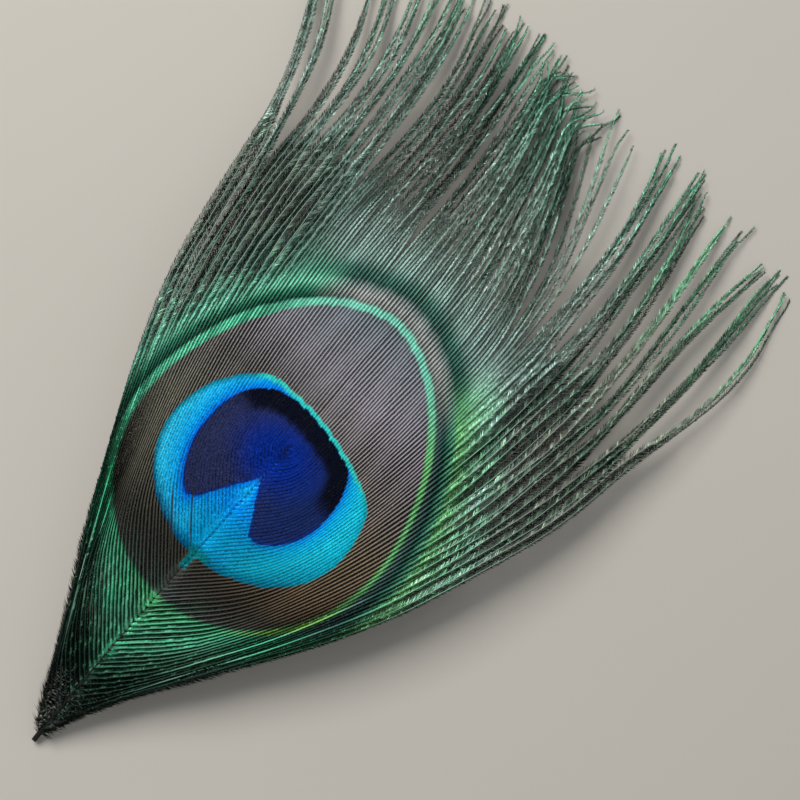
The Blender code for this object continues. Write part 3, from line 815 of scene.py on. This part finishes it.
def eyeGroup():
    # the eye from the heart outwards: heart, blue, bronze, ring, then bands, greens and fringe;
    # each zone is laid over the last by a soft step of its depth. The second output is how far the
    # painted shade in the furrows between barbs darkens: a constant, less in the blue, above the eye,
    # on the ring and in the glow
    p, look = eyePaint, eyeLook
    keys = ["heart", "blue", "disc", "spotX", "spotY", "barbTone", "free"]
    group, s, given, out = newGroup("eyeColours", keys, [("Colour", "Color"), ("Depth", "Float")])
    heart, blue, disc, x, y, tone, free = [given.outputs[k] for k in keys]
    toRight = s.step(x, -6.0, 6.0)
    fromShaft = s.math("ABSOLUTE", x)

    # heart: violet lobes, a royal centre and a black crescent along its upper right
    lobes = s.mix(toRight, p["lobeLeft"], p["lobeRight"])
    dx = s.times(s.plus(x, 0.5), 0.8)
    dy = s.minus(y, 46.0)
    far = s.math("SQRT", s.plus(s.times(dx, dx), s.times(dy, dy)))
    centre = s.mix(s.step(far, 6.4, 1.5), lobes, p["royal"])
    slant = s.plus(y, s.times(x, 0.25))
    crescent = s.both((heart, 3.1, 1.9), (slant, 45.2, 48.0))
    heartColour = s.mix(crescent, centre, p["crescent"])
    edge = s.both((heart, 0.45, 0.0), (slant, 47.0, 44.0))
    heartColour = s.mix(edge, heartColour, p["heartEdge"])

    # blue: strong by the heart, azure on the left, cyan on the right and darker below
    fromHeart = s.times(heart, -1.0)
    left = s.ramp(fromHeart, p["blueLeft"])
    right = s.ramp(fromHeart, p["blueRight"])
    sides = s.mix(s.step(x, -3.0, 7.0), left, right)
    under = s.mix(s.step(y, 34.0, 39.5), p["notchLow"], p["notchHigh"])
    low = s.mix(s.step(fromShaft, 2.0, 6.0), under, sides)
    sides = s.mix(s.step(y, 41.5, 38.0), sides, low)
    lowShore = s.mix(toRight, p["shoreLowLeft"], p["shoreLowRight"])
    shore = s.mix(toRight, p["shoreLeft"], p["shoreRight"])
    shore = s.mix(s.step(y, 33.0, 38.5), lowShore, shore)
    bank = s.both((blue, 1.7, 0.1), (y, 38.0, 33.0))
    sides = s.mix(s.math("MAXIMUM", s.step(blue, 0.8, 0.0), s.times(bank, look["bank"])), sides, shore)
    shade = s.both((x, -2.0, 5.0), (y, 43.0, 34.0))
    sides = s.mix(s.times(shade, look["blueShade"]), sides, p["blueShade"])
    stem = s.both((fromShaft, 2.0, 0.9), (y, 32.4, 31.0))
    sides = s.mix(stem, sides, p["stem"])
    rim = s.both((blue, 0.8, 0.3), (y, 48.0, 50.5))
    rim = s.times(rim, s.step(x, -10.0, -7.0))
    blueColour = s.mix(rim, sides, p["rim"])

    # bronze: nearly black at the foot, brown at the sides, mauve above; the pale mauve above and
    # the lighter right side are partly painted sheen, partly the bronze's own colour
    bronze = s.mix(toRight, s.ramp(y, p["bronzeLeft"]), s.ramp(y, p["bronzeRight"]))

    # ring: mint, yellower on the right and below, dulled on the left by the darker barbs
    ringSide = s.mix(s.step(x, -8.0, 12.0), p["ringLeft"], p["ringRight"])
    ring = s.mix(s.step(y, 56.0, 66.0), ringSide, p["ringTop"])
    lowRing = s.mix(s.step(x, 0.0, 9.0), p["ringLowLeft"], p["ringLowRight"])
    ring = s.mix(s.step(y, 42.0, 30.0), ring, lowRing)
    dim = s.both((x, -7.0, -14.0), (tone, 0.62, 0.25))
    ring = s.mix(s.times(dim, look["ringDim"]), ring, p["ringDim"])

    # outside the ring: the greens of the two sides, the foot below, the bands above
    outward = s.times(disc, -1.0)
    bands = s.ramp(outward, p["bands"])
    greens = s.mix(s.step(x, -2.0, 2.0), s.ramp(outward, p["greenLeft"]), s.ramp(outward, p["greenRight"]))
    wing = s.minus(y, s.times(fromShaft, look["slope"]))
    foot = s.mix(s.step(y, 14.0, 5.0), s.ramp(wing, p["foot"]), p["base"])
    greens = s.mix(s.step(y, 36.0, 25.0), greens, foot)
    banded = s.plus(wing, s.times(s.step(x, 2.0, 14.0), 5.0))
    green = s.both((x, 9.0, 15.0), (y, 74.0, 67.0))
    green = s.times(s.step(outward, 3.4, 5.5), green)
    green = s.minus(1.0, s.times(green, look["greenKeep"]))
    outside = s.mix(s.times(s.step(banded, 53.0, 63.0), green), greens, bands)

    # the loose fringe: green, more so towards the tips and to the right
    farTips = s.mix(s.step(y, 80.0, 98.0), p["fringeRight"], p["fringeRightTip"])
    fringe = s.mix(s.step(x, 14.0, 24.0), s.ramp(y, p["fringe"]), farTips)
    outside = s.mix(free, outside, fringe)

    # the zones over each other
    colour = s.mix(s.step(disc, 0.0, 0.7), outside, bronze)
    width = s.plus(look["ringWidth"], s.times(s.step(y, 44.0, 62.0), look["ringWidthTop"]))
    width = s.plus(width, s.times(s.step(x, -9.0, -15.0), look["ringWidthLeft"]))
    closeness = s.minus(width, s.math("ABSOLUTE", disc))
    onRing = s.both((closeness, -0.15, 0.3), (y, 24.5, 30.0))
    colour = s.mix(onRing, colour, ring)
    colour = s.mix(s.step(blue, -0.08, 0.08), colour, blueColour)
    colour = s.mix(s.step(heart, -0.06, 0.06), colour, heartColour)
    s.link(colour, out.inputs["Colour"])

    # painted shade in the furrows between barbs
    depth = s.minus(look["furrowShade"], s.times(s.step(blue, -0.1, 0.1), look["furrowBlue"]))
    depth = s.minus(depth, s.times(s.step(heart, -0.1, 0.1), look["furrowHeart"]))
    depth = s.minus(depth, s.times(s.step(wing, 44.0, 54.0), look["furrowTop"]))
    inDisc = s.times(s.step(disc, 0.0, 0.8), look["furrowFootDisc"])
    depth = s.plus(depth, s.times(s.step(y, 34.0, 27.0), s.minus(look["furrowFoot"], inDisc)))
    depth = s.minus(depth, s.times(onRing, look["furrowRing"]))
    glow = s.both((outward, 2.2, 4.0), (outward, 11.0, 8.0))
    glow = s.times(s.step(x, 10.0, 13.0), glow)
    depth = s.minus(depth, s.times(glow, look["furrowGlow"]))
    s.link(depth, out.inputs["Depth"])
    return group


def eyeColours(s, group):
    # the group placed in a material, fed by the piece's own numbers
    made = s.node("ShaderNodeGroup")
    made.node_tree = group
    for socket in made.inputs:
        s.link(s.attribute(socket.name), socket)
    return made.outputs["Colour"], made.outputs["Depth"]


glintLook = {
    "crestPower": 1.35,  # above 1 narrows the painted highlight on a barb's crest
    "crestGain": 1.14,
    "barbSpread": 0.14,  # how much barbs differ in the eye, and how much more where they are wild
    "wildBarbSpread": 1.6,
    "bladeSpread": 0.4,  # the same for barbules
    "wildBladeSpread": 0.42,
    "dashes": 0.78,  # strength of the painted long dashes of light
    "farSide": 0.42,  # painted shade on barbules of the side that turns away, and painted light gain on the other
    "sideGain": 1.16, "darkest": 0.02, "lightest": 1.6,
}


def glintGroup():
    # how light each barbule is painted: painted shade from crest to furrow, times barb to barb,
    # barbule to barbule with a few painted glints, painted dashes of light and a painted lit and
    # shaded side, times what the painted dusk shade leaves, plus a few painted glimmers where it is
    # dusky. The differences are small in the eye and grow with wild. The second output marks the
    # brightest dashes, for a painted highlight
    look = glintLook
    keys = ["reach", "barbTone", "bladeTone", "gleam", "wild", "dusk", "lit", "Depth"]
    group, s, given, out = newGroup("glint", keys, [("Shade", "Float"), ("PaintedGlint", "Float")])
    reach, tone, blade, gleam, wild, dusk, lit, depth = [given.outputs[k] for k in keys]
    # painted shade: each barbule is painted light at its crest and dark towards its tip, the furrow
    span = s.times(reach, s.plus(0.10, s.times(depth, 0.93)))
    shadeDepth = s.times(depth, s.minus(1.0, s.times(wild, s.times(lit, 0.6))))
    furrowShade = s.minus(1.0, s.times(s.step(span, -0.15, 0.52), shadeDepth))
    furrowShade = s.math("POWER", s.math("MAXIMUM", furrowShade, 0.0), look["crestPower"])
    furrowShade = s.times(furrowShade, look["crestGain"])
    spread = s.plus(look["barbSpread"], s.times(wild, look["wildBarbSpread"]))
    perBarb = s.plus(1.0, s.times(s.minus(tone, 0.5), spread))
    skewed = s.minus(s.times(s.math("POWER", blade, 2.5), 2.1), 0.60)
    skewed = s.times(skewed, s.times(wild, look["wildBladeSpread"]))
    even = s.times(s.times(s.minus(blade, 0.5), 0.8), look["bladeSpread"])
    perBlade = s.plus(1.0, s.plus(skewed, even))
    dash = s.minus(s.times(s.step(gleam, 0.35, 0.95), 1.7), 0.72)
    perDash = s.plus(1.0, s.times(dash, s.times(wild, look["dashes"])))
    # painted light on one side of each barb and painted shade on the other
    perSide = s.plus(look["farSide"], s.times(lit, look["sideGain"]))
    shade = s.times(s.times(furrowShade, perBarb), s.times(perBlade, perDash))
    shade = s.times(s.times(shade, perSide), s.minus(1.0, dusk))
    # painted glimmers: a few specks of light in the painted dusk shade
    glimmer = s.both((gleam, 0.66, 0.95), (blade, 0.50, 0.85))
    glimmer = s.times(glimmer, s.step(dusk, 0.0, 0.7))
    shade = s.plus(shade, s.times(glimmer, furrowShade))
    shade = s.math("MINIMUM", s.math("MAXIMUM", shade, look["darkest"]), look["lightest"])
    s.link(shade, out.inputs["Shade"])
    # painted highlight mask: the brightest dashes on the lit side
    paintedGlint = s.both((gleam, 0.6, 0.98), (lit, 0.6, 0.95))
    s.link(s.times(paintedGlint, s.step(blade, 0.25, 0.75)), out.inputs["PaintedGlint"])
    return group


def newMaterial(name):
    # a material with its node sheet and its Principled shader
    material = bpy.data.materials.new(name)
    material.use_nodes = True
    sheet = Sheet(material.node_tree)
    return material, sheet, material.node_tree.nodes["Principled BSDF"]


barbPaint = {
    "roughness": 0.42, "metallic": 0.45, "specular": 0.02, "underside": "#2f352c", "hair": "#9aa08c",
    "hairShare": 0.7, "greener": "#44886c", "greenerShare": 0.5, "paintedGlint": "#bcdcb4", "paintedGlintShare": 0.26,
    "rib": "#9cb0a8",
    "ribShare": 0.40,  # how far wild ribs turn to pale horn, partly painted sheen, and how much more lighter ones do
    "ribToneShare": 0.5,
    "ribDim": 0.60,  # how much darker loose ribs are, and how much less the lighter ones are
    "ribToneDim": 0.65,
}


def setShader(shader, look):
    # the plain values of a Principled shader
    sockets = {"roughness": "Roughness", "metallic": "Metallic", "specular": "Specular IOR Level"}
    for key, socket in sockets.items():
        shader.inputs[socket].default_value = look[key]


def barbMaterial(group, glints):
    # barbules are the eye's colour times the painted light and shade; ribs keep the crest's colour,
    # paler in the flanks (partly pale horn, partly painted sheen) and darker in the fringe and under
    # the painted dusk shade; stray hairs are paler, and the underside is plain
    look = barbPaint
    material, s, shader = newMaterial("barbSheen")
    colour, depth = eyeColours(s, group)
    glint = s.node("ShaderNodeGroup")
    glint.node_tree = glints
    for socket in glint.inputs:
        s.link(depth if socket.name == "Depth" else s.attribute(socket.name), socket)
    wild, tone, free = s.attribute("wild"), s.attribute("barbTone"), s.attribute("free")
    greener = s.times(s.times(wild, look["greenerShare"]), s.step(tone, 0.62, 0.30))
    colour = s.mix(greener, colour, look["greener"])
    # painted highlight: pale green-white on the brightest lit dashes
    colour = s.mix(s.times(glint.outputs["PaintedGlint"], look["paintedGlintShare"]), colour, look["paintedGlint"])
    body = s.mix(1.0, colour, s.grey(glint.outputs["Shade"]), "MULTIPLY")
    pale = s.times(wild, s.plus(look["ribShare"], s.times(tone, look["ribToneShare"])))
    pale = s.times(pale, s.minus(1.0, s.times(free, 0.5)))
    dim = s.times(free, s.minus(look["ribDim"], s.times(tone, look["ribToneDim"])))
    ribShade = s.times(s.minus(1.0, dim), s.minus(1.0, s.attribute("dusk")))
    ribColour = s.mix(1.0, s.mix(pale, colour, look["rib"]), s.grey(ribShade), "MULTIPLY")
    face = s.mix(s.attribute("rib"), body, ribColour)
    tip = s.times(s.attribute("hair"), s.step(s.attribute("reach"), 0.4, 1.0))
    face = s.mix(s.times(tip, look["hairShare"]), face, look["hair"])
    back = s.node("ShaderNodeNewGeometry").outputs["Backfacing"]
    s.link(s.mix(back, face, look["underside"]), shader.inputs["Base Color"])
    setShader(shader, look)
    return material


shaftPaint = {
    "roughness": 0.50, "metallic": 0.0, "specular": 0.12, "hornDark": "#080907", "hornLight": "#2c2b24",
    "eyeDark": "#01040a",
    "dim": 0.72,  # how dark the shaft is in the eye, and how much less in the heart
    "heartDim": 0.62, "streaks": (9000.0, 500.0, 9000.0), "bump": 0.25, "bumpDepth": 0.00003,
}


def shaftMaterial(group):
    # streaked dark horn below the eye; in it, the eye's colour mixed with near black
    look = shaftPaint
    material, s, shader = newMaterial("shaftHorn")
    colour = eyeColours(s, group)[0]
    coords = s.node("ShaderNodeTexCoord").outputs["Object"]
    stretch = s.node("ShaderNodeMapping", Scale=look["streaks"])
    s.link(coords, stretch.inputs["Vector"])
    streaks = s.node("ShaderNodeTexNoise", Scale=1.0, Detail=4.0)
    s.link(stretch.outputs["Vector"], streaks.inputs["Vector"])
    horn = s.mix(streaks.outputs["Fac"], look["hornDark"], look["hornLight"])
    inEye = s.step(s.attribute("spotY"), 27.0, 31.0)
    inHeart = s.step(s.attribute("heart"), -0.4, 0.4)
    dim = s.minus(look["dim"], s.times(inHeart, look["heartDim"]))
    s.link(s.mix(inEye, horn, s.mix(dim, colour, look["eyeDark"])), shader.inputs["Base Color"])
    setShader(shader, look)
    bump = s.node("ShaderNodeBump", Strength=look["bump"], Distance=look["bumpDepth"])
    s.link(streaks.outputs["Fac"], bump.inputs["Height"])
    s.link(bump.outputs["Normal"], shader.inputs["Normal"])
    return material


group = eyeGroup()
barbLook = barbMaterial(group, glintGroup())
shaftLook = shaftMaterial(group)

shaftPiece = makeShaft()
shaftPiece.data.materials.append(shaftLook)
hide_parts("rachis")
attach(shaftPiece, "root")
print("shaft made")

total = 0
for seed, (lockName, prongs) in enumerate(locks.items(), 11):
    piece = makeLock(lockName, prongs, seed)
    piece.data.materials.append(barbLook)
    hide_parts(lockName)
    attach(piece, "root")
    piece.data.calc_loop_triangles()
    total += len(piece.data.loop_triangles)
    print(lockName, len(piece.data.loop_triangles), "triangles")
print("all locks", total, "triangles")

studio = {
    "floor": "#c6c1b8", "floorLight": "#cbc6bd", "floorRoughness": 0.85, "floorSpecular": 0.15,
    "floorSize": 0.9,
    "cloudScale": 14.0,  # the soft blotches of the floor
    "keyPlace": (-0.34, 0.10, 0.42), "keySize": 0.32, "keyPower": 2.65, "keyColour": (1.0, 0.985, 0.96),
    "skyColour": (0.93, 0.96, 1.0, 1.0), "skyStrength": 0.31,
    "viewCentre": (6.1, 60.65, 5.0),  # millimetres from the cut base
    "viewWidth": 96.0, "lens": 100.0, "filmWidth": 36.0, "roll": 41.0,
}


def makeFloor():
    # a square sheet at height zero, with faint soft blotches
    half = studio["floorSize"] / 2.0
    corners = [(-half, -half, 0), (half, -half, 0), (half, half, 0), (-half, half, 0)]
    mesh = bpy.data.meshes.new("floor")
    mesh.from_pydata(corners, [], [(0, 1, 2, 3)])
    material, s, shader = newMaterial("floorPaper")
    coords = s.node("ShaderNodeTexCoord").outputs["Object"]
    cloud = s.node("ShaderNodeTexNoise", Scale=studio["cloudScale"], Detail=3.0)
    s.link(coords, cloud.inputs["Vector"])
    paper = s.mix(cloud.outputs["Fac"], studio["floor"], studio["floorLight"])
    s.link(paper, shader.inputs["Base Color"])
    shader.inputs["Roughness"].default_value = studio["floorRoughness"]
    shader.inputs["Specular IOR Level"].default_value = studio["floorSpecular"]
    mesh.materials.append(material)
    newObject("floor", mesh)


def makeLight():
    # a square window light aimed at the feather's middle, and an even pale sky
    data = bpy.data.lights.new("window", "AREA")
    data.shape = "SQUARE"
    data.size = studio["keySize"]
    data.energy = studio["keyPower"]
    data.color = studio["keyColour"]
    item = newObject("window", data)
    item.location = studio["keyPlace"]
    aim = -item.location
    item.rotation_euler = aim.to_track_quat("-Z", "Y").to_euler()
    world = bpy.data.worlds.new("room")
    world.use_nodes = True
    sky = world.node_tree.nodes["Background"]
    sky.inputs["Color"].default_value = studio["skyColour"]
    sky.inputs["Strength"].default_value = studio["skyStrength"]
    bpy.context.scene.world = world


def makeCamera():
    # straight down, as far off as the lens needs to fit the view's width
    data = bpy.data.cameras.new("camera")
    data.sensor_width = studio["filmWidth"]
    data.lens = studio["lens"]
    item = newObject("camera", data)
    away = studio["viewWidth"] * studio["lens"] / studio["filmWidth"]
    x, y, z = studio["viewCentre"]
    item.location = ((x + homeX) * mm, (y + homeY) * mm, (z + away) * mm)
    item.rotation_euler = (0.0, 0.0, math.radians(studio["roll"]))
    data.clip_start = 0.01
    bpy.context.scene.camera = item


makeFloor()
makeLight()
makeCamera()
bpy.context.scene.view_settings.view_transform = "Standard"
print("floor, light and camera made")
